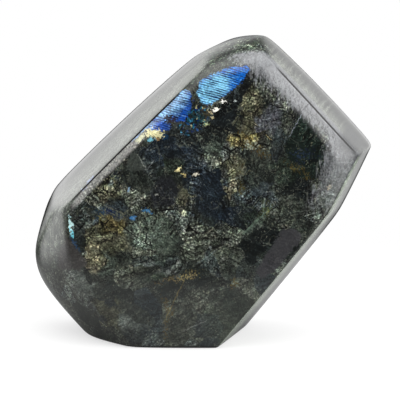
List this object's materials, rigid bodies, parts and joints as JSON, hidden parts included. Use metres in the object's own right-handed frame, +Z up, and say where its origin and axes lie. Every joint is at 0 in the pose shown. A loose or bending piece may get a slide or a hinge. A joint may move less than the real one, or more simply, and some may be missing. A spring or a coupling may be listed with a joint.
{
  "type": "polished labradorite freeform",
  "caption": "Free-standing polished labradorite slab with domed faces and broad bevelled edges, leaning to one side on a flat cut base.",
  "frame": {"origin": "in the middle of the flat cut base, at ground level", "axes": "+Z up out of the base, +X to the side the stone leans towards, +Y from the front face to the back face"},
  "size_m": [0.2214, 0.0732, 0.1969],
  "materials": {
    "stone": "polished"
  },
  "bodies": {
    "root": {"stone": "stone"}
  },
  "joints": []
}
